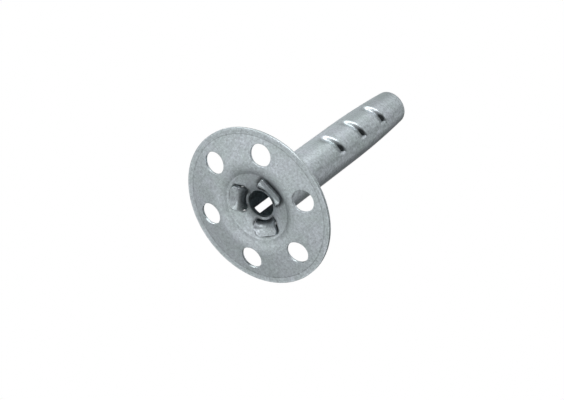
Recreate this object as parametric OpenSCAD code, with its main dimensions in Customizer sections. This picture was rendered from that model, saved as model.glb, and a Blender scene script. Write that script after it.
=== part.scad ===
/* [Sheet] */
// Thickness of the plate's sheet steel
plate_t = 0.45; // [0.35:0.05:0.6]
// Thickness of the sleeve's sheet steel
sleeve_t = 0.45; // [0.35:0.05:0.6]
// Gap left between the plate and the sleeve where they are clamped together
seat_gap = 0.03; // [0.02:0.01:0.08]

/* [Plate] */
// Outside diameter of the plate
plate_d = 30; // [28:0.5:60]
// Width of the flat lip round the edge
lip_w = 1; // [0.6:0.1:2]
// Height of the crown over the lip
crown_h = 0.6; // [0.4:0.05:1]
// Radius that rounds the crown
crown_r = 9; // [6:0.5:10]
// Slope of the plate just inside the crown, in degrees
crown_slope = 9; // [6:1:10]
// Width of the straight slope between the crown's rounding and the step
crown_flat = 0.25; // [0.25:0.05:0.5]
// Diameter of the step ring at its foot
step_d = 13; // [12.6:0.1:13.4]
// Width of the step's slanted wall
step_w = 0.3; // [0.25:0.05:0.45]
// Depth of the step, from the top of its wall to its foot
step_depth = 0.3; // [0.2:0.05:0.35]
// Slope of the funnel inside the step, in degrees
funnel_slope = 15; // [10:1:20]
// Diameter of the mouth, the hole through the collar
mouth_d = 5.2; // [4.6:0.1:5.4]
// Wall of the collar that is drawn round the mouth
collar_wall = 0.3; // [0.2:0.02:0.36]
// Depth of the collar, from the mouth to its end inside the sleeve
collar_depth = 1.1; // [0.9:0.1:3]
// Radius that rounds the edge of the mouth
mouth_round = 0.25; // [0.1:0.05:0.3]

/* [Holes] */
// Number of round holes in the plate
hole_count = 6; // [3:1:8]
// Diameter of each hole
hole_d = 4.2; // [3:0.1:4.6]
// Diameter of the circle that the holes lie on
hole_circle_d = 21.5; // [21:0.1:23]

/* [Sleeve] */
// Outside diameter of the sleeve
sleeve_d = 8.1; // [7.9:0.1:8.6]
// Length of the sleeve behind the plate
sleeve_len = 44.9; // [40:0.1:120]
// Length of the tapered part, which ends at the tip
taper_len = 18; // [8:1:20]
// How much the radius has shrunk at the tip
taper_drop = 0.68; // [0.2:0.02:0.8]
// Width of the open seam
seam_w = 1.5; // [0.6:0.1:2.2]

/* [Dents] */
// Number of dents in the side opposite the seam
dent_count = 3; // [1:1:4]
// Distance from the tip to the middle of the nearest dent
dent_first = 8.4; // [6:0.1:9]
// Distance from one dent to the next
dent_pitch = 7.45; // [5:0.05:8]
// Width of a dent along the sleeve
dent_w = 2.7; // [2:0.1:3.4]
// Depth of a dent
dent_depth = 0.7; // [0.4:0.05:0.8]
// Angle that a dent spans round the sleeve, in degrees
dent_span = 76; // [50:1:90]

/* [Tongues] */
// Angle that a tongue spans round the sleeve at its root, in degrees
tongue_span = 76; // [60:1:80]
// Width of a tongue where it lies on the plate
tongue_w = 5.2; // [4.6:0.1:5.6]
// Length of a tongue along the sheet, from the start of its bend
tongue_len = 2.32; // [2:0.02:2.5]
// Radius of the bend in the middle of the sheet
bend_r = 0.9; // [0.85:0.05:1]
// Angle between the funnel and the tongue opposite the seam, which sprang back after folding
spring_back = 7; // [0:1:20]
// Radius of a tongue's two corners
tongue_corner = 1.3; // [0.5:0.1:2]
// Clearance of a slot at each side of its tongue
slot_side_gap = 0.25; // [0.15:0.05:0.4]

/* [Hidden] */
$fn = 96;
arc_steps = 6;
taper_steps = 10;
// How far a cutting shape passes the face that it cuts
overrun = 1;

// The dowel stands on its crown: the crown is at height 0 and the tip points up
plate_r = plate_d / 2;
lip_z = crown_h;
step_r = step_d / 2;
step_top_r = step_r + step_w;
// Where the crown's rounding begins, and the crown itself
crown_start = [step_top_r + crown_flat, crown_r * (1 - cos(crown_slope))];
crown_ring_r = crown_start[0] + crown_r * sin(crown_slope);
step_top_z = crown_start[1] + crown_flat * tan(crown_slope);
foot_z = step_top_z + step_depth;
// The cone outside the crown touches the rounding and runs down to the lip
lip_in_r = plate_r - lip_w;
lip_from_crown = [lip_in_r - crown_ring_r, lip_z - crown_r];
cone_slope = 90 + atan2(lip_from_crown[1], lip_from_crown[0]) - acos(crown_r / norm(lip_from_crown));
crown_corner = crown_start
    + crown_r * tan((crown_slope + cone_slope) / 2) * along(-crown_slope);
step_round = 0.3;
step_top_round = plate_t + 0.15;
lip_round = 0.8;

// Head-side face of the funnel at a distance from the axis
function funnel_z(r) = foot_z + (step_r - r) * tan(funnel_slope);
funnel_upright_t = plate_t / cos(funnel_slope);
mouth_r = mouth_d / 2;
collar_r = mouth_r + collar_wall;
collar_end_z = funnel_z(mouth_r) + collar_depth;

sleeve_r = sleeve_d / 2;
sleeve_in_r = sleeve_r - sleeve_t;
// The sleeve's shoulders, between its tongues, press on the back of the funnel
head_z = funnel_z(sleeve_in_r) + funnel_upright_t + seat_gap;
tip_z = head_z + sleeve_len;
taper_z = tip_z - taper_len;

// The open seam lies opposite the dents
seam_angle = 180;

// The first tongue is opposite the seam, the others are at its two sides and fully folded
tongue_angles = [0, 120, 240];
flat_bend = 90 - funnel_slope;
// To make the first tongue one with the wall, its sheet narrows to a key that runs up inside it
key_len = 0.5;
key_neck = 0.2;
key_t = sleeve_t / 2;
// Centre of the bend: a fully folded tongue lies parallel to the funnel, one seat gap over it
bend_in_r = bend_r - sleeve_t / 2;
bend_x = sleeve_r - sleeve_t / 2 + bend_r;
slot_out_r = bend_x - (bend_in_r - seat_gap) * cos(flat_bend);
bend_z = funnel_z(slot_out_r) + (bend_in_r - seat_gap) * sin(flat_bend);

// A slot reaches from the collar to the bend and has round ends, which clear the tongue's corners
slot_round = (slot_out_r - collar_r) / 2;
slot_mid_r = (slot_out_r + collar_r) / 2;
slot_corner_turn = acos((pow(slot_mid_r, 2) + pow(sleeve_r, 2) - pow(slot_round, 2))
                        / (2 * slot_mid_r * sleeve_r));
slot_half = tongue_span / 2 + asin(slot_side_gap / sleeve_r) - slot_corner_turn;

// A dent is the mark of a ring of this radius, with a ball at each end that stands this much fuller
dent_round = (pow(dent_w / 2, 2) + pow(dent_depth, 2)) / (2 * dent_depth);
ball_fullness = 0.04;
dent_half = dent_span / 2 - asin(dent_w / 2 / sleeve_r);

// Unit vector at an angle, and the one at a right angle to its left
function along(angle) = [cos(angle), sin(angle)];
function leftward(angle) = [-sin(angle), cos(angle)];
function heading(p, q) = atan2(q[1] - p[1], q[0] - p[0]);

// Points of the rounded corner at b on the way from a to c, moved to the left by shift
function corner(a, b, c, round, shift) =
    let (start = heading(a, b), turn = heading(b, c) - start, side = sign(turn),
         tangent = round * tan(abs(turn) / 2),
         centre = b - tangent * along(start) + side * round * leftward(start))
    [for (k = [0:arc_steps])
        centre + (shift - side * round) * leftward(start + turn * k / arc_steps)];

// A line through corners, given as [point, rounding], moved to the left by shift. It starts
// where the second corner's rounding does.
function rounded_line(corners, shift) =
    let (last = len(corners) - 1)
    concat(
        [for (i = [1:last - 1])
            each corner(corners[i - 1][0], corners[i][0], corners[i + 1][0], corners[i][1], shift)],
        [corners[last][0] + shift * leftward(heading(corners[last - 1][0], corners[last][0]))]);

function reversed(list) = [for (i = [len(list) - 1:-1:0]) list[i]];

// The plate's head-side face, from the collar out to the edge
plate_face = [
    [[collar_r, funnel_z(collar_r)], 0],
    [[step_r, foot_z], step_round],
    [[step_top_r, step_top_z], step_top_round],
    [crown_corner, crown_r],
    [[lip_in_r, lip_z], lip_round],
    [[plate_r, lip_z], 0]];

// The rounded edge of the mouth, which touches the collar's wall and the funnel
mouth_edge = let (centre = [mouth_r + mouth_round,
                            funnel_z(mouth_r + mouth_round) + mouth_round / cos(funnel_slope)])
    [for (k = [0:arc_steps]) centre + mouth_round * along(180 + flat_bend * k / arc_steps)];

// A ring of the plate's section, turned about the axis
module plate_sheet() {
    rotate_extrude() polygon(concat(
        mouth_edge,
        rounded_line(plate_face, 0),
        reversed(rounded_line(plate_face, plate_t)),
        [[collar_r, funnel_z(collar_r) + funnel_upright_t],
         [collar_r, collar_end_z],
         [mouth_r, collar_end_z]]));
}

// A curved slot with round ends, centred on the X axis
module slot() {
    intersection() {
        difference() {
            circle(r = slot_out_r);
            circle(r = collar_r);
        }
        polygon([[0, 0], 2 * slot_out_r * along(-slot_half), 2 * slot_out_r * along(slot_half)]);
    }
    for (side = [-1, 1])
        rotate(side * slot_half) translate([slot_mid_r, 0]) circle(r = slot_round);
}

module plate() {
    color("silver") difference() {
        plate_sheet();
        for (k = [0:hole_count - 1])
            rotate((k + 0.5) * 360 / hole_count) translate([hole_circle_d / 2, 0, -overrun])
                cylinder(d = hole_d, h = lip_z + plate_t + 2 * overrun);
        for (angle = tongue_angles)
            rotate(angle) translate([0, 0, -overrun])
                linear_extrude(head_z + 2 * overrun) slot();
    }
}

// Outside radius of the sleeve at a height
function outer_r(z) =
    sleeve_r - (z > taper_z ? taper_drop * pow((z - taper_z) / taper_len, 2) : 0);
function taper_line(inset) =
    [for (k = [0:taper_steps]) let (z = taper_z + taper_len * k / taper_steps) [outer_r(z) - inset, z]];

// The sheet of a folded tongue as seen from the side, down its inner face and back up its outer one
function tongue_fold(bend) =
    let (centre = [bend_x, bend_z], radii = [bend_in_r + sleeve_t, bend_in_r])
    concat(
        [for (k = [0:arc_steps]) centre + radii[0] * along(180 + bend * k / arc_steps)],
        [for (radius = radii) centre + radius * along(180 + bend) + tongue_len * along(bend - 90)],
        [for (k = [arc_steps:-1:0]) centre + radii[1] * along(180 + bend * k / arc_steps)]);

function tongue_reach(bend) =
    bend_x - bend_r * cos(bend) + (tongue_len - bend_r * bend * PI / 180) * sin(bend);

// The revolved sheet, flared all round as its side tongues are. Its own join lies in the open seam.
module sleeve_wall() {
    rotate(seam_angle) rotate_extrude()
        polygon(concat(taper_line(0), reversed(taper_line(sleeve_t)), tongue_fold(flat_bend)));
}

// A tongue's outline as seen from the head, with two round corners
module tongue_outline(reach) {
    half = tongue_w / 2;
    translate([0, -half]) square([reach - tongue_corner, tongue_w]);
    translate([0, tongue_corner - half]) square([reach, tongue_w - 2 * tongue_corner]);
    for (side = [-1, 1])
        translate([reach - tongue_corner, side * (half - tongue_corner)]) circle(r = tongue_corner);
}

// What is cut off the flared sheet, to leave the two side tongues and the shoulders between them
module shoulder_cut() {
    translate([0, 0, -overrun]) linear_extrude(head_z + overrun) difference() {
        circle(r = 2 * sleeve_r);
        for (angle = [tongue_angles[1], tongue_angles[2]]) rotate(angle) intersection() {
            tongue_outline(tongue_reach(flat_bend));
            polygon([for (end = [[0.5, -1], [2, -1], [2, 1], [0.5, 1]])
                end[0] * sleeve_r * along(end[1] * tongue_span / 2)]);
        }
    }
}

// Everything inside the sleeve's outer face
module sleeve_core() {
    rotate(seam_angle) rotate_extrude() polygon(concat([[0, head_z], [sleeve_r, head_z]], taper_line(0), [[0, tip_z]]));
}

// The die that presses a dent: a piece of a ring with a slightly fuller ball at each end
module dent_die(radius, z) {
    ring_r = outer_r(z) - dent_depth + dent_round;
    translate([0, 0, z]) {
        rotate(-dent_half) rotate_extrude(angle = 2 * dent_half) translate([ring_r, 0]) circle(r = radius);
        for (side = [-1, 1])
            rotate(side * dent_half) translate([ring_r, 0, 0]) sphere(r = radius + ball_fullness);
    }
}

// The tongue opposite the seam, with the key that joins it to the wall
module back_tongue() {
    bend = flat_bend - spring_back;
    wall_x = bend_x - bend_r;
    intersection() {
        rotate(-tongue_span / 2) rotate_extrude(angle = tongue_span) polygon(concat(
            [[wall_x - sleeve_t / 2, head_z]],
            tongue_fold(bend),
            [[wall_x + sleeve_t / 2, head_z]],
            [for (z = [head_z + key_neck, head_z + key_len]) [wall_x + key_t / 2, z]],
            [for (z = [head_z + key_len, head_z + key_neck]) [wall_x - key_t / 2, z]]));
        linear_extrude(2 * head_z) tongue_outline(tongue_reach(bend));
    }
}

module sleeve() {
    dent_heights = [for (k = [0:dent_count - 1]) tip_z - dent_first - k * dent_pitch];
    color("gainsboro") difference() {
        union() {
            difference() {
                sleeve_wall();
                shoulder_cut();
            }
            back_tongue();
            for (z = dent_heights) intersection() {
                sleeve_core();
                dent_die(dent_round + sleeve_t, z);
            }
        }
        for (z = dent_heights) dent_die(dent_round, z);
        rotate(seam_angle) translate([0, -seam_w / 2, head_z - overrun])
            cube([2 * sleeve_r, seam_w, sleeve_len + 2 * overrun]);
    }
}

plate();
sleeve();
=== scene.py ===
# %% [markdown]
# # A metal fixing dowel
# A dowel of this kind fixes insulation boards. It is two pieces of galvanised sheet steel:
# a round dished plate, and a slotted sleeve whose three tongues are folded over the plate.
# The CAD model is loaded first. It is the frame that every Blender piece has to fit.

# %% Load the fixed frame
import bmesh
import bpy
import math
from mathutils import Matrix, Vector


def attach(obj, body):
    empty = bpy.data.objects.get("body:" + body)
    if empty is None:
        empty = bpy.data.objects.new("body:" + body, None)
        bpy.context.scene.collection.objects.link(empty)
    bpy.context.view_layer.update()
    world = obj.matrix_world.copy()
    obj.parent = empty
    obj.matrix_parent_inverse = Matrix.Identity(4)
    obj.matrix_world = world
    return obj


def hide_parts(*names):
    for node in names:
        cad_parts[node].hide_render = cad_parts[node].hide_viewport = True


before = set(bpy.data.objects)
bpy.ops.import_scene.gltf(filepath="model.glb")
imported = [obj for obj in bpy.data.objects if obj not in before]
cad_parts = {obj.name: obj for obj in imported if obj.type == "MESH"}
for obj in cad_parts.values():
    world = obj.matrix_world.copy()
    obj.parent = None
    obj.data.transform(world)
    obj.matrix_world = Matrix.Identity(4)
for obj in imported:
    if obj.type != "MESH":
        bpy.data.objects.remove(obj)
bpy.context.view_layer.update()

MM = 0.001

# %% [markdown]
# ## The camera
# The photograph looks at the head of the dowel, from below in this frame, since the dowel
# stands on its crown. The place and turn of the camera were worked out from the ellipse of
# the plate, its six holes and the taper of the sleeve. The turn is given by the directions
# that point right and up in the picture, because those can be read off the photograph.

# %% Place the camera
camera_data = bpy.data.cameras.new("photo_camera")
camera = bpy.data.objects.new("photo_camera", camera_data)
bpy.context.scene.collection.objects.link(camera)
bpy.context.scene.camera = camera
camera_data.sensor_width = 36
camera_data.lens = 98.86
camera_data.clip_start = 0.01
camera_data.clip_end = 10
right = Vector((0.48221, 0.67769, 0.55518))
up = Vector((0.54123, -0.72877, 0.41949))
back = right.cross(up).normalized()
turn = Matrix((right, up, back)).transposed()
stand = Vector((189.80, 28.77, -191.48)) * MM
camera.matrix_world = Matrix.Translation(stand) @ turn.to_4x4()
print("camera", round(stand.length, 3), "m from the origin, lens", round(camera_data.lens, 2))

# %% [markdown]
# ## How the pieces are drawn
# Both pieces are drawn in millimetres, as a workshop drawing gives them, and scaled to metres
# at the end. Everything is deselected before each new piece, because an edit-mode tool acts on
# all that is selected. A tool often has to be told which points it works on, and here they are
# found by where they are, which stays true when the counts change.

# %% Helpers for drawing a piece
same_place = 0.01  # Points this close, in millimetres, count as one place


def deselect_all():
    """Leaves edit mode and clears the selection."""
    if bpy.context.object and bpy.context.object.mode != "OBJECT":
        bpy.ops.object.mode_set(mode="OBJECT")
    bpy.ops.object.select_all(action="DESELECT")


def start_with_point(name, place):
    """A new piece that is one selected vertex, in edit mode."""
    deselect_all()
    bpy.ops.mesh.primitive_plane_add(size=1, location=(0, 0, 0))
    piece = bpy.context.object
    piece.name = name
    bpy.ops.object.mode_set(mode="EDIT")
    bpy.ops.mesh.select_mode(type="VERT")
    bpy.ops.mesh.merge(type="CENTER")
    bpy.ops.transform.translate(value=place)
    return piece


def select_where(piece, test):
    """In edit mode, selects the vertices whose place passes the test, and the edges they join."""
    bpy.ops.mesh.select_mode(type="VERT")
    bpy.ops.mesh.select_all(action="DESELECT")
    mesh = bmesh.from_edit_mesh(piece.data)
    for vertex in mesh.verts:
        vertex.select = test(vertex.co)
    mesh.select_flush_mode()
    bmesh.update_edit_mesh(piece.data)


def apply_modifier(piece, kind, **settings):
    """Adds a modifier with the given settings and makes it part of the mesh at once."""
    bpy.context.view_layer.objects.active = piece
    modifier = piece.modifiers.new(kind.title(), kind)
    for key, value in settings.items():
        setattr(modifier, key, value)
    bpy.ops.object.modifier_apply(modifier=modifier.name)


def polar(radius, angle, z=0):
    """The point at a radius and an angle in degrees about the axis."""
    turned = math.radians(angle)
    return Vector((radius * math.cos(turned), radius * math.sin(turned), z))


def angle_of(co):
    """Angle of a point about the axis, in degrees."""
    return math.degrees(math.atan2(co.y, co.x))


def radius_of(co):
    """Distance of a point from the axis."""
    return math.hypot(co.x, co.y)


# %% [markdown]
# ## The die for the plate
# The real plate is a flat blank that a press forms over a die, and the same is done here. The
# die's section is drawn from the mouth to the edge as a chain of corners, the corners are
# rounded with a vertex bevel, and the line is spun about the axis. The plate could be spun by
# itself, but its holes would then have to be cut out of a curved sheet.

# %% Draw and spin the die
# Each corner has its distance from the axis, its height, and how far its rounding reaches
die_corners = [
    (2.4, 1.90, 0),
    (3.2, 1.39, 0.25),
    (3.6, 1.2, 0.15),
    (4.2, 0.99, 0.25),
    (5.0, 0.775, 0.35),
    (6.0, 0.54, 0.2),
    (6.42, 0.44, 0.05),
    (6.7, 0.33, 0.11),
    (7.0, 0.22, 0.13),
    (7.4, 0.11, 0.18),
    (8.3, -0.038, 0.6),
    (9.2, 0.02, 0.2),
    (14.0, 0.6, 0.1),
    (15.4, 0.6, 0)]
die = start_with_point("die", (die_corners[0][0], 0, die_corners[0][1]))
for before, after in zip(die_corners, die_corners[1:]):
    step = (after[0] - before[0], 0, after[1] - before[1])
    bpy.ops.mesh.extrude_region_move(TRANSFORM_OT_translate={"value": step})
for r, z, setback in die_corners[1:-1]:
    select_where(die, lambda co: (co - Vector((r, 0, z))).length < same_place)
    bpy.ops.mesh.bevel(offset_type="OFFSET", offset=setback, segments=12, affect="VERTICES")
bpy.ops.mesh.select_all(action="SELECT")
bpy.ops.mesh.spin(steps=360, angle=math.radians(360), center=(0, 0, 0), axis=(0, 0, 1))
bpy.ops.mesh.select_all(action="SELECT")
bpy.ops.mesh.remove_doubles(threshold=0.0005)
bpy.ops.object.mode_set(mode="OBJECT")
print("die vertices", len(die.data.vertices))

# %% [markdown]
# ## The blank of the plate
# The blank is laid flat as rings of edges round the axis, with the outline of each hole and
# slot between them. Spokes cut the bands into fields, one for each hole or slot, and bridging
# fills every field with a neat grid that runs from the hole's rim to the field's edge. A boolean
# would cut the holes in one step, but the long thin faces that it leaves show in shiny metal.

# %% Lay the rings of the blank
ring_count = 144
mouth_ring, slot_ring, foot_ring, crown_ring = 2.78, 4.95, 6.35, 7.0
hole_ring_in, hole_ring_out, edge_ring = 8.0, 13.5, 15.0
deselect_all()
bpy.ops.mesh.primitive_circle_add(vertices=ring_count, radius=mouth_ring, location=(0, 0, 0))
plate = bpy.context.object
plate.name = "plate_piece"
bpy.ops.object.mode_set(mode="EDIT")
for radius in (slot_ring, foot_ring, crown_ring, hole_ring_in, hole_ring_out, edge_ring):
    bpy.ops.mesh.primitive_circle_add(vertices=ring_count, radius=radius, location=(0, 0, 0))
print("rings", len(bmesh.from_edit_mesh(plate.data).verts) // ring_count)

# %% Draw the spokes, the holes and the slots
def spoke(angle, inner, outer, cuts):
    """An edge between two rings, cut into equal lengths."""
    ends = [polar(inner, angle), polar(outer, angle)]
    select_where(plate, lambda co: min((co - end).length for end in ends) < same_place)
    bpy.ops.mesh.edge_face_add()
    bpy.ops.mesh.subdivide(number_cuts=cuts)


def spin_point(steps, angle, center):
    """Sweeps what is selected about an upright axis, anticlockwise seen from above."""
    turned = math.radians(angle)
    bpy.ops.mesh.spin(steps=steps, angle=turned, center=center, axis=(0, 0, -1))


slot_inner, slot_outer, slot_half = 2.95, 4.56, 28
slot_mid = (slot_inner + slot_outer) / 2
tongue_angles = (0, 120, 240)
for angle in (60, 180, 300):
    spoke(angle, mouth_ring, slot_ring, 11)
for k in range(6):
    spoke(60 * k, hole_ring_in, hole_ring_out, 23)

hole_r, hole_band_r = 2.1, 2.3
hole_middles = [polar(10.75, 60 * k + 30) for k in range(6)]
for middle in hole_middles:
    for radius in (hole_r, hole_band_r):
        bpy.ops.mesh.primitive_circle_add(vertices=96, radius=radius, location=middle)

for angle in tongue_angles:
    bpy.ops.mesh.select_all(action="DESELECT")
    bpy.ops.mesh.primitive_plane_add(size=0.1, location=polar(slot_inner, angle - slot_half))
    bpy.ops.mesh.merge(type="CENTER")
    spin_point(26, 2 * slot_half, (0, 0, 0))
    spin_point(34, -180, polar(slot_mid, angle + slot_half))
    spin_point(26, -2 * slot_half, (0, 0, 0))
    spin_point(34, -180, polar(slot_mid, angle - slot_half))
bpy.ops.mesh.select_all(action="SELECT")
bpy.ops.mesh.remove_doubles(threshold=0.002)
print("blank outlines", len(bmesh.from_edit_mesh(plate.data).verts), "vertices")

# %% [markdown]
# ## Filling the blank
# The plain bands are bridged ring to ring. Each hole first gets a narrow band of its own, so
# that its rim can be rounded later, and then the field between that band and the rings and
# spokes is bridged. Both outlines of a field have the same number of points.

# %% Bridge the bands and the fields
def bridge(test, cuts):
    """Bridges the two outlines whose points pass the test, and cuts the bridge into rows."""
    select_where(plate, test)
    bpy.ops.mesh.select_mode(type="EDGE")
    bpy.ops.mesh.bridge_edge_loops(type="SINGLE", number_cuts=cuts, interpolation="LINEAR")


def near(value, target, slack=0.004):
    """True where two lengths in millimetres are the same, or nearly so."""
    return abs(value - target) < slack


def angle_from(co, middle):
    """Angle between a point and a direction about the axis, in degrees."""
    return abs((angle_of(co) - middle + 180) % 360 - 180)


def on_field(co, middle, half, inner, outer):
    """True on the outline of a field: its two arcs and its two spokes."""
    r, off = radius_of(co), angle_from(co, middle)
    on_arc = off < half + 0.01 and (near(r, inner) or near(r, outer))
    on_spoke = abs(off - half) < 0.02 and inner < r < outer
    return on_arc or on_spoke


def on_slot(co, middle):
    """True on the outline of a slot: its two arcs and its two round ends."""
    r = radius_of(co)
    if angle_from(co, middle) < slot_half + 0.01 and (near(r, slot_inner) or near(r, slot_outer)):
        return True
    ends = [polar(slot_mid, middle + side * slot_half) for side in (-1, 1)]
    return any(near((co - end).length, (slot_outer - slot_inner) / 2) for end in ends)


bands = (
    (slot_ring, foot_ring, 8),
    (foot_ring, crown_ring, 14),
    (crown_ring, hole_ring_in, 5),
    (hole_ring_out, edge_ring, 11))
for inner, outer, cuts in bands:
    bridge(lambda co: near(radius_of(co), inner) or near(radius_of(co), outer), cuts)
for angle in tongue_angles:
    bridge(lambda co: on_slot(co, angle) or on_field(co, angle, 60, mouth_ring, slot_ring), 2)
for middle in hole_middles:
    bridge(lambda co: any(near((co - middle).length, r) for r in (hole_r, hole_band_r)), 0)
    bridge(lambda co: near((co - middle).length, hole_band_r)
           or on_field(co, angle_of(middle), 30, hole_ring_in, hole_ring_out), 6)
bpy.ops.mesh.select_all(action="SELECT")
bpy.ops.mesh.remove_doubles(threshold=0.002)
bpy.ops.mesh.normals_make_consistent(inside=False)
bpy.ops.object.mode_set(mode="OBJECT")
print("blank", len(plate.data.vertices), "vertices", len(plate.data.polygons), "faces")

# %% [markdown]
# ## Pressing the plate
# The blank is projected straight on to the die, as the press does it, and takes the die's dish,
# crown, step and funnel. The collar is drawn out of the rim of the mouth, so that the nail has a
# wall to run along: the rim is extruded round the bend into the mouth, and then along the wall.

# %% Press the blank
apply_modifier(plate, "SHRINKWRAP", target=die, wrap_method="PROJECT", use_project_z=True,
               use_negative_direction=True, use_positive_direction=True)
bpy.data.objects.remove(die)
print("pressed from", round(min(v.co.z for v in plate.data.vertices), 2),
      "to", round(max(v.co.z for v in plate.data.vertices), 2), "mm")

# %% Draw the collar
bore_r, collar_end, mouth_round, mouth_slope = 2.6, 2.59, 0.25, 33
deselect_all()
plate.select_set(True)
bpy.context.view_layer.objects.active = plate
bpy.ops.object.mode_set(mode="EDIT")
select_where(plate, lambda co: near(radius_of(co), mouth_ring, 0.01))
bpy.ops.mesh.select_mode(type="EDGE")
turn_r = bore_r + mouth_round
slope = math.radians(mouth_slope)
rim_z = die_corners[0][1] - (mouth_ring - die_corners[0][0]) * math.tan(slope)
turn_z = rim_z - (turn_r - mouth_ring) * math.tan(slope) + mouth_round / math.cos(slope)
bends = [180 + (90 - mouth_slope) * k / 5 for k in (4, 3, 2, 1, 0)]
path = [(turn_r + mouth_round * math.cos(math.radians(b)),
         turn_z + mouth_round * math.sin(math.radians(b))) for b in bends]
path += [(bore_r, turn_z + (collar_end - turn_z) * k / 6) for k in range(1, 7)]
r_now, z_now = mouth_ring, rim_z
for r, z in path:
    bpy.ops.mesh.extrude_edges_move(TRANSFORM_OT_translate={"value": (0, 0, z - z_now)})
    bpy.ops.transform.resize(value=(r / r_now, r / r_now, 1), center_override=(0, 0, z))
    r_now, z_now = r, z
bpy.ops.mesh.select_all(action="SELECT")
bpy.ops.mesh.normals_make_consistent(inside=False)
bpy.ops.object.mode_set(mode="OBJECT")
down = sum(face.normal.z < 0 for face in plate.data.polygons)
print("pressed sheet", len(plate.data.polygons), "faces,", down, "of them facing the head")

# %% [markdown]
# ## Giving the plate its thickness
# Solidify grows the sheet away from the head. The collar is stretched thin as it is drawn, so
# a vertex group tells Solidify to leave less wall there. A narrow bevel breaks the cut edges,
# as the press does, and the shading stays crisp at any edge sharper than 35 degrees.

# %% Thicken the plate
thin_share = 0.6667  # Wall of the collar as a share of the sheet's thickness


def finish_sheet(piece, thickness, offset, group, edge_round):
    """Gives a sheet its thickness, rounds its cut edges, and scales it to metres."""
    settings = {"vertex_group": group.name, "thickness_vertex_group": thin_share} if group else {}
    apply_modifier(piece, "SOLIDIFY", thickness=thickness, offset=offset, use_even_offset=True,
                   use_quality_normals=True, **settings)
    apply_modifier(piece, "BEVEL", width=edge_round, segments=2, limit_method="ANGLE",
                   angle_limit=math.radians(50), use_clamp_overlap=True)
    deselect_all()
    piece.select_set(True)
    bpy.context.view_layer.objects.active = piece
    bpy.ops.transform.resize(value=(MM, MM, MM), center_override=(0, 0, 0))
    bpy.ops.object.transform_apply(location=True, rotation=True, scale=True)
    bpy.ops.object.shade_smooth_by_angle(angle=math.radians(35))
    print(piece.name, len(piece.data.polygons), "faces")


plate_t = 0.45
full = plate.vertex_groups.new(name="full_sheet")
full.add([v.index for v in plate.data.vertices if radius_of(v.co) > bore_r + 0.01], 1, "REPLACE")
finish_sheet(plate, plate_t, 1, full, 0.045)

# %% [markdown]
# ## Painted shade under the tongues
# The plate is painted darker in the narrow gap under a folded tongue and round the tongue's
# end, where shade falls. The plate has rows of points close together at that place, so a
# number for each point draws the soft edge, and the tongues need not be traced in the material.

# %% Paint shade on the plate under the tongues
# Painted shade: the plate is darkened under and round each folded tongue, where shade falls
tongue_side = 2.6
# Middle of the tongue in degrees, distance of its end from the axis, width of the soft edge
tongue_shade_spots = ((0, 6.05, 1.15), (120, 5.65, 0.55), (240, 5.65, 0.5))


def tongue_shade_share(co):
    """Share of painted shade: 1 on the plate under a tongue, and less beside it. co is in metres.
    """
    r = radius_of(co) / MM
    worst = 0
    for middle, end_r, spread in tongue_shade_spots:
        across = math.radians(angle_from(co, middle)) * r
        off = math.hypot(max(r - end_r, 0), max(across - tongue_side, 0)) / spread
        worst = max(worst, 1 - off)
    return worst if r > slot_outer else 0


# Each point's share of painted shade goes into an attribute for the material
tongue_shade_values = [tongue_shade_share(vertex.co) for vertex in plate.data.vertices]
tongue_shade = plate.data.attributes.new("tongue_shade", "FLOAT", "POINT")
tongue_shade.data.foreach_set("value", tongue_shade_values)
print("painted_shade points", sum(value > 0 for value in tongue_shade_values))

# %% [markdown]
# ## Rolling the sleeve
# The sleeve is a strip of sheet that is rolled round until its long edges almost meet. An arc
# is swept from one edge of the open seam to the other, and raised along the axis, with each
# row brought in a little where the sleeve tapers to its tip. The rows lie closer together
# where the dents come. All of it is the middle of the sheet, and the thickness comes last. A
# cylinder with a cut in it would look the same, but this way the columns end at the seam's edges.

# %% Roll the sleeve
sleeve_t, sleeve_r, middle_r, seam_w = 0.45, 4.05, 3.825, 1.5
head_z, taper_z, tip_z, taper_drop = 1.723, 28.62, 46.6, 0.68
seam_half = math.degrees(math.asin(seam_w / 2 / sleeve_r))
column_count = 180


def middle_radius(z):
    """Distance of the middle of the sheet from the axis at a height."""
    return middle_r - taper_drop * (max(z - taper_z, 0) / (tip_z - taper_z)) ** 2


heights = [2.1, 2.8, 3.5, 5, 8, 11, 14, 17, 19, 20.4, 21.2]
heights += [21.4 + 0.1 * k for k in range(193)]
heights += [41.5, 42.5, 43.5, 44.5, 45.5, 46.2, tip_z]
sleeve = start_with_point("sleeve_piece", polar(middle_r, seam_half - 180, head_z))
spin_point(column_count, 360 - 2 * seam_half, (0, 0, 0))
select_where(sleeve, lambda co: True)
bpy.ops.mesh.select_mode(type="EDGE")
z_now = head_z
for z in heights:
    bpy.ops.mesh.extrude_edges_move(TRANSFORM_OT_translate={"value": (0, 0, z - z_now)})
    squeeze = middle_radius(z) / middle_radius(z_now)
    bpy.ops.transform.resize(value=(squeeze, squeeze, 1), center_override=(0, 0, z))
    z_now = z
print("rolled sheet", len(bmesh.from_edit_mesh(sleeve.data).faces), "faces")

# %% [markdown]
# ## The tongues
# Three tongues run on from the head end of the sleeve, through the slots of the plate, and are
# folded outwards over it. A folded tongue keeps some of the roundness of the tube, so it lies
# like a shallow gutter with its sides standing up. The edge of the tube is extruded row by
# row, and each row is then bent to its place along the fold. A Simple Deform modifier bends
# too, but it keeps a strip's section, and here the gutter has to open as it bends.

# %% Fold the tongues
fold_r, fold_x, fold_z = 0.9, 4.725, 1.72
tongue_half, tongue_margin = 37.6, 0.8
tongue_rows, row_step = 26, 0.01
half_width = middle_r * math.radians(tongue_half)


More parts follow.
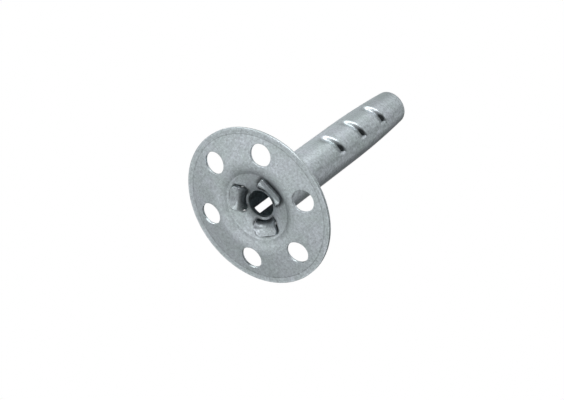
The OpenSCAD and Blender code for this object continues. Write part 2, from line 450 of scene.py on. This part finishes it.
def fold_place(run, across, bend, length, flat_r, end_r):
    """Where a point of a tongue comes to lie, seen with the tongue on the X axis.
    run is its distance along the sheet, across its distance from the middle line."""
    bend_run = fold_r * math.radians(bend)
    turned = min(run, bend_run) / fold_r
    x = fold_x - fold_r * math.cos(turned) + max(run - bend_run, 0) * math.sin(turned)
    z = fold_z - fold_r * math.sin(turned) - max(run - bend_run, 0) * math.cos(turned)
    opening = min(run / bend_run, 1)
    hollow_r = middle_r + (flat_r - middle_r) * opening ** 2
    hollow_r += (end_r - flat_r) * max(run - bend_run, 0) / (length - bend_run)
    rise = hollow_r * (1 - math.cos(across / hollow_r))
    side = hollow_r * math.sin(across / hollow_r)
    return Vector((x - rise * math.cos(turned), side, z - rise * math.sin(turned)))


def fold_tongue(middle, bend, length, flat_r, end_r, corners):
    """Extrudes a tongue row by row. Its gutter has the radius flat_r after the bend and end_r
    at the end, and corners are the radii of its two corners."""
    reach = tongue_half + tongue_margin
    select_where(sleeve, lambda co: near(co.z, head_z) and angle_from(co, middle) < reach)
    bpy.ops.mesh.select_mode(type="EDGE")
    turn_to = Matrix.Rotation(math.radians(middle), 4, "Z")
    for row in range(tongue_rows + 1):
        bpy.ops.mesh.extrude_edges_move(TRANSFORM_OT_translate={"value": (0, 0, -row_step)})
        mesh = bmesh.from_edit_mesh(sleeve.data)
        points = [v for v in mesh.verts if v.select]
        points.sort(key=lambda v: (turn_to.inverted() @ v.co).y)
        for k, vertex in enumerate(points):
            across = half_width * (2 * k / (len(points) - 1) - 1)
            corner_r = corners[across > 0]
            into_corner = max(abs(across) - half_width + corner_r, 0)
            shorter = corner_r - math.sqrt(max(corner_r ** 2 - into_corner ** 2, 0))
            run = (length - shorter) * row / tongue_rows
            vertex.co = turn_to @ fold_place(run, across, bend, length, flat_r, end_r)
        bmesh.update_edit_mesh(sleeve.data)
    return len(points)


# Middle and bend in degrees, length, the gutter's two radii, and the radii of the corners
tongues = [
    (0, 68.5, 2.7, 6, 60, (0.5, 1.1)),
    (120, 64, 2.4, 5.5, 20, (0.7, 1.4)),
    (240, 64, 2.4, 5.5, 20, (1.2, 1.2))]
for tongue in tongues:
    print("tongue at", tongue[0], "has", fold_tongue(*tongue), "points across")
bpy.ops.mesh.select_all(action="SELECT")
bpy.ops.mesh.normals_make_consistent(inside=False)
bpy.ops.object.mode_set(mode="OBJECT")

# %% [markdown]
# ## The dents
# Three short grooves are pressed into the side opposite the seam. They grip the nail, and they
# stop the sleeve from creeping along the wall of the hole. Each runs a little askew and is deepest
# at one end, and that pocket catches hardly any light. Each vertex gets a weight for how deep it
# is pressed, and a Displace modifier pushes it in along its normal by that weight. The sheet
# gets its thickness only after that, so its wall stays even inside the dents, which a cut made
# with a boolean would not give. An attribute marks the pocket, where the material paints shade.

# %% The shape of a dent
dent_heights, dent_depth = (23.32, 30.77, 38.22), 0.66
# The groove's two ends, as distances round the sleeve from the middle of that side, and how
# far from each end the depth grows
dent_from, dent_to, ease_from, ease_to = -3.35, 2.4, 1.3, 0.55
# Its two edges, as heights from its middle line, how far that line lies below the dent's
# height, and how much it climbs per millimetre
dent_below, dent_above, dent_drop, dent_skew = -1.2, 1.1, 0.45, 0.22
# Depth at the crease and at the shallow end, as shares, and how far the steep wall shifts
crease_share, shallow_share, wall_shift = 0.15, 0.6, 0.4
# Painted shade in the pocket: middle round the sleeve, half its length, its height, half its width,
# its skew
pocket_arc, pocket_length, pocket_height, pocket_width, pocket_skew = 1.15, 1.25, 0.42, 0.5, 0.2


def from_dent(co):
    """Height of a point from the nearest dent, and its distance round the sleeve."""
    height = min((co.z - z for z in dent_heights), key=abs)
    return height, math.radians(angle_of(co)) * radius_of(co)


def half_wave(share):
    """Rises from 0 to 1 with a soft start and a soft end."""
    return 0.5 - 0.5 * math.cos(math.pi * share)


def dent_share(co):
    """Share of the full depth, 0 to 1: a crease on the head side, a floor that slopes deeper
    towards the tip, and a steep wall there."""
    height, arc = from_dent(co)
    off = height + dent_drop - dent_skew * arc
    if not dent_below < off < dent_above or not dent_from < arc < dent_to:
        return 0
    along = (arc - dent_from) / (dent_to - dent_from)
    wall_at = wall_shift * along
    if off < wall_at:
        across = (off - dent_below) / (wall_at - dent_below)
        floor_share = crease_share + (1 - crease_share) * across
    else:
        floor_share = 1 - half_wave((off - wall_at) / (dent_above - wall_at))
    ends = min((arc - dent_from) / ease_from, (dent_to - arc) / ease_to, 1)
    deeper = shallow_share + (1 - shallow_share) * along
    return floor_share * half_wave(ends) * deeper


def pocket_shade_share(co):
    """Share of painted shade: 1 in the deep pocket at one end of a groove, 0 away from it."""
    height, arc = from_dent(co)
    along = (arc - pocket_arc) / pocket_length
    off = abs(height - pocket_height - pocket_skew * (arc - pocket_arc)) / pocket_width
    return max(1 - along ** 2 - off, 0)


# %% Press the dents
dents = sleeve.vertex_groups.new(name="dents")
# The pocket's share of painted shade, kept as an attribute for the material
pocket_shade_values = [pocket_shade_share(vertex.co) for vertex in sleeve.data.vertices]
for vertex in sleeve.data.vertices:
    depth = dent_share(vertex.co)
    if depth > 0:
        dents.add([vertex.index], depth, "REPLACE")
pocket_shade_layer = sleeve.data.attributes.new("pocket", "FLOAT", "POINT")
pocket_shade_layer.data.foreach_set("value", pocket_shade_values)
print("points in the pockets", sum(value > 0 for value in pocket_shade_values))
outward = sum(face.normal.dot(Vector((face.center.x, face.center.y, 0))) > 0
              for face in sleeve.data.polygons) > len(sleeve.data.polygons) / 2
apply_modifier(sleeve, "DISPLACE", direction="NORMAL", mid_level=0, vertex_group=dents.name,
               strength=-dent_depth if outward else dent_depth)
finish_sheet(sleeve, sleeve_t, 0, None, 0.06)

# %% [markdown]
# ## Two pieces in place of two nodes
# Each finished piece stands where its CAD solid stands and is shown instead of it. The tongues
# are riveted over the plate, so nothing moves, and both pieces ride on the one body.

# %% Hand the pieces to the frame
for piece, node, slot in ((plate, "plate", "plate_steel"), (sleeve, "sleeve", "sleeve_steel")):
    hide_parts(node)
    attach(piece, "root")
    print(piece.name, "replaces", node)

# %% [markdown]
# ## The zinc finish
# Galvanised sheet looks grey at first, but the coat is a patchwork: soft clouds of bluish and
# greenish grey a few millimetres wide, a mottled grain of half a millimetre where the zinc froze,
# and fine pits. Both pieces were cut from such sheet, so the grain is one node group that each
# material places with its own sizes. Everything reads Object coordinates, which a Mapping node
# turns into millimetres.

# %% Helpers for building node groups
def new_group(name, inputs, outputs):
    """An empty shader node group. inputs and outputs are lists of (name, kind, default)."""
    group = bpy.data.node_groups.new(name, "ShaderNodeTree")
    for in_out, sockets in (("INPUT", inputs), ("OUTPUT", outputs)):
        for socket_name, kind, default in sockets:
            socket = group.interface.new_socket(name=socket_name, in_out=in_out,
                                                socket_type="NodeSocket" + kind)
            if default is not None:
                socket.default_value = default
    return group, group.nodes.new("NodeGroupInput"), group.nodes.new("NodeGroupOutput")


def put(tree, kind, inputs=None, **settings):
    """Adds a node. inputs gives a value or an output to link for each socket name or number."""
    node = tree.nodes.new("ShaderNode" + kind)
    for key, value in settings.items():
        setattr(node, key, value)
    for key, value in (inputs or {}).items():
        if isinstance(value, bpy.types.NodeSocket):
            tree.links.new(value, node.inputs[key])
        else:
            node.inputs[key].default_value = value
    return node


def math_node(tree, operation, a, b=0.0, c=0.0, clamp=False):
    """One step of arithmetic. Each of a, b and c is a number or an output."""
    return put(tree, "Math", {0: a, 1: b, 2: c}, operation=operation, use_clamp=clamp).outputs[0]


def remap(tree, value, low, high, to_low=0.0, to_high=1.0, smooth=False):
    """Maps the range low to high on to a new one, in a straight line or with soft ends."""
    return put(tree, "MapRange", {"Value": value, "From Min": low, "From Max": high,
                                  "To Min": to_low, "To Max": to_high},
               interpolation_type="SMOOTHSTEP" if smooth else "LINEAR").outputs["Result"]


def noise(tree, vector, scale, detail=2.0, roughness=0.55, distortion=0.0):
    """Noise round 0.5. The larger the scale, the finer the grain."""
    return put(tree, "TexNoise", {"Vector": vector, "Scale": scale, "Detail": detail,
                                  "Roughness": roughness, "Distortion": distortion}).outputs["Fac"]


# %% The grain of the zinc
def build_grain():
    """Clouds, mottle and pits of a zinc coat, and the height that they make together."""
    group, given, result = new_group("zinc_grain", [
        ("Vector", "Vector", None), ("Cloud Scale", "Float", 0.3), ("Mottle Scale", "Float", 1.6),
        ("Fine Scale", "Float", 5.0), ("Mottle Share", "Float", 0.6)],
        [("Cloud", "Float", None), ("Mottle", "Float", None), ("Pits", "Float", None),
         ("Height", "Float", None)])
    vector = given.outputs["Vector"]
    cloud = noise(group, vector, given.outputs["Cloud Scale"], 3, 0.5, 0.4)
    mottle = noise(group, vector, given.outputs["Mottle Scale"], 4, 0.6, 0.3)
    fine = noise(group, vector, given.outputs["Fine Scale"], 3, 0.6)
    blend = put(group, "Mix", {0: given.outputs["Mottle Share"], 2: fine, 3: mottle},
                data_type="FLOAT").outputs[0]
    pits = remap(group, noise(group, vector, 3.4, 2, 0.5), 0.66, 0.74, smooth=True)
    group.links.new(remap(group, cloud, 0.3, 0.7), result.inputs["Cloud"])
    group.links.new(remap(group, blend, 0.3, 0.7), result.inputs["Mottle"])
    group.links.new(pits, result.inputs["Pits"])
    group.links.new(math_node(group, "SUBTRACT", blend, math_node(group, "MULTIPLY", pits, 0.3)),
                    result.inputs["Height"])
    return group


zinc_grain = build_grain()
print("group", zinc_grain.name, "with", len(zinc_grain.nodes), "nodes")

# %% [markdown]
# ## Rings of painted shade and light, and a burnished edge
# Thin rings darken the crease inside the lip and the foot of the step as painted shade, lighten
# the step as a painted highlight, and lighten the outer edge where the die burnished it. A ring is
# a narrow band of distances from an upright line, broken up by noise. A group draws it, because
# the plate needs several, and the painted shade at the slots' round ends uses it too.

# %% A ring round the axis
def build_ring():
    """A mask that is 1 on a thin circle about an upright line and breaks off here and there."""
    group, given, result = new_group("thin_ring", [
        ("Vector", "Vector", None), ("Radius", "Float", 10.0), ("Width", "Float", 0.1),
        ("Wander", "Float", 0.06), ("Middle", "Vector", None)], [("Mask", "Float", None)])
    arm = put(group, "VectorMath", {0: given.outputs["Vector"], 1: given.outputs["Middle"]},
              operation="SUBTRACT").outputs[0]
    flat = put(group, "VectorMath", {0: arm, 1: (1, 1, 0)}, operation="MULTIPLY").outputs[0]
    radius = put(group, "VectorMath", {0: flat}, operation="LENGTH").outputs["Value"]
    shift = remap(group, noise(group, given.outputs["Vector"], 0.8, 2), 0.3, 0.7, -1, 1)
    middle = math_node(group, "MULTIPLY_ADD", shift, given.outputs["Wander"],
                       given.outputs["Radius"])
    off = math_node(group, "ABSOLUTE", math_node(group, "SUBTRACT", radius, middle))
    widths_off = math_node(group, "DIVIDE", off, given.outputs["Width"])
    near_line = math_node(group, "SUBTRACT", 1, widths_off, clamp=True)
    broken = remap(group, noise(group, given.outputs["Vector"], 1.3, 3), 0.35, 0.6, 0.35, 1)
    group.links.new(math_node(group, "MULTIPLY", near_line, broken), result.inputs["Mask"])
    return group


thin_ring = build_ring()
print("group", thin_ring.name, "with", len(thin_ring.nodes), "nodes")

# %% [markdown]
# ## A material for each piece
# Both materials are built the same way. Clouds blend two greys, the mottle lightens and darkens
# them, and marks of the tools, painted shade and painted light are laid over that. The same masks
# also change the roughness and the bump, so a mark shows in the shine and not only in the colour.

# %% How a zinc material is built
def colour_mix(tree, share, a, b, blend="MIX"):
    """Lays colour b over colour a by the given share."""
    return put(tree, "Mix", {0: share, 6: a, 7: b}, data_type="RGBA", blend_type=blend).outputs[2]


def times(tree, value, mask, low, high, to_low, to_high, smooth=False):
    """Multiplies a value by what a mask becomes when it is mapped to a new range."""
    return math_node(tree, "MULTIPLY", value,
                     remap(tree, mask, low, high, to_low, to_high, smooth))


def zinc_material(name, pale, deep, grain, contrast, rough, marks):
    """pale and deep are the two greys, grain the group's values, contrast what the mottle does
    to the colour and rough to the roughness. marks is a function that adds the piece's own
    marks, painted shade and painted light, and returns (dark mask, bright mask)."""
    material = bpy.data.materials.new(name)
    material.use_nodes = True
    tree = material.node_tree
    shader = tree.nodes["Principled BSDF"]
    place = put(tree, "TexCoord").outputs["Object"]
    mm = put(tree, "Mapping", {"Vector": place, "Scale": (1 / MM, 1 / MM, 1 / MM)}).outputs[0]
    coat = put(tree, "Group", node_tree=zinc_grain)
    tree.links.new(mm, coat.inputs["Vector"])
    for key, value in grain.items():
        coat.inputs[key].default_value = value
    # Attributes that say where shade is painted: the dents' pockets and the plate under the tongues
    pocket, tongue_shade_mask = [put(tree, "Attribute", attribute_name=mark).outputs["Fac"]
                          for mark in ("pocket", "tongue_shade")]
    dark, bright = marks(tree, mm)
    colour = colour_mix(tree, coat.outputs["Cloud"], deep, pale)
    shade = remap(tree, coat.outputs["Mottle"], 0, 1, contrast[0], contrast[1])
    shade = times(tree, shade, coat.outputs["Pits"], 0, 1, 1, 0.8)
    # Dark mask: real streaks and roller lines, with painted shade in creases, at slot ends and on
    # folds
    shade = times(tree, shade, dark, 0, 1, 1, 0.3)
    # Bright mask: a burnished edge and roller lines, with painted light on the step and tongue
    # flats
    shade = times(tree, shade, bright, 0, 1, 1, 1.25)
    # Painted shade in the deep pocket of each dent
    shade = times(tree, shade, pocket, 0, 0.45, 1, 0.2)
    # Painted shade on the plate under and round the tongues
    shade = times(tree, shade, tongue_shade_mask, 0, 0.9, 1, 0.2, smooth=True)
    grey = put(tree, "CombineColor", {0: shade, 1: shade, 2: shade}).outputs[0]
    colour = colour_mix(tree, 1.0, colour, grey, "MULTIPLY")
    tree.links.new(colour, shader.inputs["Base Color"])
    shine = remap(tree, coat.outputs["Mottle"], 0, 1, rough[0], rough[1])
    shine = math_node(tree, "MULTIPLY_ADD", dark, 0.1, shine)
    shine = math_node(tree, "MULTIPLY_ADD", bright, -0.04, shine)
    shine = math_node(tree, "MULTIPLY_ADD", pocket, 0.25, shine)
    tree.links.new(shine, shader.inputs["Roughness"])
    shader.inputs["Metallic"].default_value = 1.0
    sunk = math_node(tree, "MULTIPLY", dark, 0.5)
    height = math_node(tree, "SUBTRACT", coat.outputs["Height"], sunk)
    bump = put(tree, "Bump", {"Height": height, "Strength": 0.25, "Distance": 0.00006})
    tree.links.new(bump.outputs[0], shader.inputs["Normal"])
    print("material", name, "with", len(tree.nodes), "nodes")
    return material


# %% [markdown]
# ## Marks of the tools, and painted shade and light
# Each piece has marks of its own, and they come from how it was made. The die burnished the outer
# edge of the plate, and the streaks of the rolling mill run across it. Rings of painted shade lie
# in the crease of the lip and at the foot of the step, with painted shade at the slots' ends and a
# ring of painted highlight on the step. The sleeve was rolled from a strip, so its lines run
# lengthwise. Its folds get painted shade, and the flat of its tongues gets painted light.

# %% The marks, painted shade and painted highlight on the plate
def ring_mask(tree, mm, radius, width, wander, middle=(0, 0, 0)):
    """One ring. width is half its width, and wander is how far it strays from the radius."""
    return put(tree, "Group", {"Vector": mm, "Radius": radius, "Width": width, "Wander": wander,
                               "Middle": middle}, node_tree=thin_ring).outputs["Mask"]


# Radius, half width and wander of each ring in millimetres, and how strong it is
# Painted shade in the crease inside the lip and at the foot of the step
crease_shade_rings = ((13.93, 0.13, 0.02, 0.6), (6.6, 0.16, 0.05, 0.03))
# A burnished outer edge, and a painted highlight round the step
burnish_and_highlight_rings = ((14.8, 0.2, 0.03, 0.8), (6.33, 0.12, 0.03, 0.6))
# Painted shade at the round ends of the slots
slot_end_shade_ring = (0.84, 0.34, 0.05)


def strongest(tree, mm, rings):
    """The mask of several rings, each at its own strength."""
    masks = [math_node(tree, "MULTIPLY", ring_mask(tree, mm, *ring[:3]), ring[3]) for ring in rings]
    return math_node(tree, "MAXIMUM", *masks)


def plate_marks_and_painted_light(tree, mm):
    """Mill streaks and a burnished edge; painted shade in creases and at slot ends; a painted
    highlight.
    """
    streak_space = put(tree, "Mapping", {"Vector": mm, "Rotation": (0, 0, math.radians(35)),
                                         "Scale": (0.12, 2.6, 1)}).outputs[0]
    streaks = remap(tree, noise(tree, streak_space, 1.0, 3, 0.6), 0.5, 0.8)
    # Real streaks of the mill, and painted shade in the crease rings
    dark = math_node(tree, "MULTIPLY_ADD", streaks, 0.08, strongest(tree, mm, crease_shade_rings))
    # Painted shade at each slot's round ends
    for middle in tongue_angles:
        for side in (-1, 1):
            slot_end = polar(slot_mid, middle + side * slot_half)
            dark = math_node(tree, "MAXIMUM", dark, ring_mask(tree, mm, *slot_end_shade_ring, slot_end))
    return dark, strongest(tree, mm, burnish_and_highlight_rings)


# %% The marks, painted shade and painted light on the sleeve
def sleeve_marks_and_painted_light(tree, mm):
    """Long marks of the rollers, painted shade on the bends, and painted light on the tongues'
    flat.
    """
    along = put(tree, "Mapping", {"Vector": mm, "Scale": (2.2, 2.2, 0.07)}).outputs[0]
    lines = noise(tree, along, 1.0, 4, 0.65)
    height = put(tree, "SeparateXYZ", {0: mm}).outputs["Z"]
    # Painted light: the flat of the tongues, low on the plate, is lightened
    tongue_light = remap(tree, height, 1.0, 0.55, 0, 1.4, smooth=True)
    bright = math_node(tree, "MAXIMUM", remap(tree, lines, 0.44, 0.25, 0, 0.3), tongue_light)
    # Painted shade along the bend of the tongues
    from_fold = math_node(tree, "ABSOLUTE", math_node(tree, "SUBTRACT", height, 1.3))
    fold = remap(tree, from_fold, 0.1, 0.5, 0.5, 0, smooth=True)
    return math_node(tree, "MAXIMUM", remap(tree, lines, 0.56, 0.8, 0, 0.2), fold), bright


# %% [markdown]
# ## Zinc on both pieces
# The sleeve's sheet is a shade darker than the plate's, and its mottle is stronger. The CAD
# nodes get the same materials as the pieces that stand in for them.

# %% Build and assign the two materials
plate_zinc = zinc_material(
    "plate_zinc", (0.575, 0.62, 0.66, 1), (0.5, 0.565, 0.57, 1),
    {"Cloud Scale": 0.28, "Mottle Scale": 2.1, "Fine Scale": 6.0, "Mottle Share": 0.55},
    (0.66, 1.34), (0.56, 0.42), plate_marks_and_painted_light)
sleeve_zinc = zinc_material(
    "sleeve_zinc", (0.56, 0.6, 0.645, 1), (0.475, 0.54, 0.545, 1),
    {"Cloud Scale": 0.22, "Mottle Scale": 2.0, "Fine Scale": 5.5, "Mottle Share": 0.6},
    (0.58, 1.42), (0.58, 0.4), sleeve_marks_and_painted_light)

for piece, node, material in ((plate, "plate", plate_zinc), (sleeve, "sleeve", sleeve_zinc)):
    for shown in (piece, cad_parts[node]):
        shown.data.materials.clear()
        shown.data.materials.append(material)

# %% [markdown]
# ## The floor
# The floor is seen from above only: from below, where the photograph's camera stands, it is
# clear, and it throws no shadow and shows in no reflection.

# %% Lay the floor
bpy.ops.object.select_all(action="DESELECT")
bpy.ops.mesh.primitive_plane_add(size=1.6, location=(0, 0, 0))
floor = bpy.context.object
floor.name = "floor"
floor_paint = bpy.data.materials.new("floor_paint")
floor_paint.use_nodes = True
nodes = floor_paint.node_tree.nodes
links = floor_paint.node_tree.links
matt = nodes["Principled BSDF"]
matt.inputs["Base Color"].default_value = (0.85, 0.85, 0.84, 1)
matt.inputs["Roughness"].default_value = 0.6
clear = nodes.new("ShaderNodeBsdfTransparent")
geometry = nodes.new("ShaderNodeNewGeometry")
mix = nodes.new("ShaderNodeMixShader")
links.new(geometry.outputs["Backfacing"], mix.inputs[0])
links.new(matt.outputs[0], mix.inputs[1])
links.new(clear.outputs[0], mix.inputs[2])
links.new(mix.outputs[0], nodes["Material Output"].inputs["Surface"])
floor.data.materials.append(floor_paint)
floor.visible_shadow = False
floor.visible_diffuse = False
floor.visible_glossy = False
print("floor", round(floor.dimensions.x, 2), "m wide")

# %% [markdown]
# ## The lamps
# The photograph shows soft light from many sides, and metal tells each of them apart. So large
# round lamps stand half a metre off, all round the dowel, and their powers are those whose sum
# comes closest to the light and shade of the photograph. One more
# lights the seam's side, which the photograph doesn't show. The camera doesn't see the lamps.

# %% Set up the lamps
lamp_width, lamp_distance, lamp_middle = 0.26, 0.5, Vector((0, 0, 0.012))


def round_lamp(name, toward, power):
    """A round lamp in the given direction from the head, which faces it."""
    data = bpy.data.lights.new(name, "AREA")
    data.shape = "DISK"
    data.size = lamp_width
    data.energy = power
    lamp = bpy.data.objects.new(name, data)
    bpy.context.scene.collection.objects.link(lamp)
    lamp.visible_camera = False
    lamp.location = lamp_middle + lamp_distance * Vector(toward).normalized()
    lamp.rotation_euler = (-Vector(toward)).to_track_quat("-Z", "Y").to_euler()


lamps = (
    ("head_left", (-0.426, -0.409, -0.807), 0.287),
    ("head_right", (-0.506, 0.267, -0.820), 0.161),
    ("head_middle", (-0.103, 0.009, -0.995), 0.226),
    ("head_low", (-0.760, -0.105, -0.641), 0.103),
    ("head_side", (0.181, -0.910, -0.374), 0.495),
    ("side_front", (0.899, -0.368, 0.238), 1.282),
    ("side_left", (0.546, -0.834, 0.082), 0.944),
    ("side_back", (0.093, -0.991, 0.095), 1.916),
    ("tip_front", (0.527, 0.257, 0.810), 0.188),
    ("tip_left", (0.441, -0.231, 0.867), 0.114),
    ("tip_right", (0.092, 0.647, 0.757), 0.139),
    ("seam_side", (-0.860, 0.400, 0.300), 0.500))
for lamp_setting in lamps:
    round_lamp(*lamp_setting)
print("lamps", len(lamps))

# %% [markdown]
# ## The white background
# The photograph's background is pure white, but a world that bright would wash the metal out.
# So the world is white to the camera only, and lights the dowel as a dim grey room.

# %% Build the world
world = bpy.data.worlds.new("studio")
bpy.context.scene.world = world
world.use_nodes = True
nodes = world.node_tree.nodes
links = world.node_tree.links
seen = nodes.new("ShaderNodeLightPath")
room = nodes["Background"]
room.inputs["Color"].default_value = (0.14, 0.14, 0.14, 1)
white = nodes.new("ShaderNodeBackground")
white.inputs["Color"].default_value = (1, 1, 1, 1)
mix = nodes.new("ShaderNodeMixShader")
links.new(seen.outputs["Is Camera Ray"], mix.inputs[0])
links.new(room.outputs[0], mix.inputs[1])
links.new(white.outputs[0], mix.inputs[2])
links.new(mix.outputs[0], nodes["World Output"].inputs["Surface"])
bpy.context.scene.view_settings.view_transform = "Standard"
print("world", world.name)
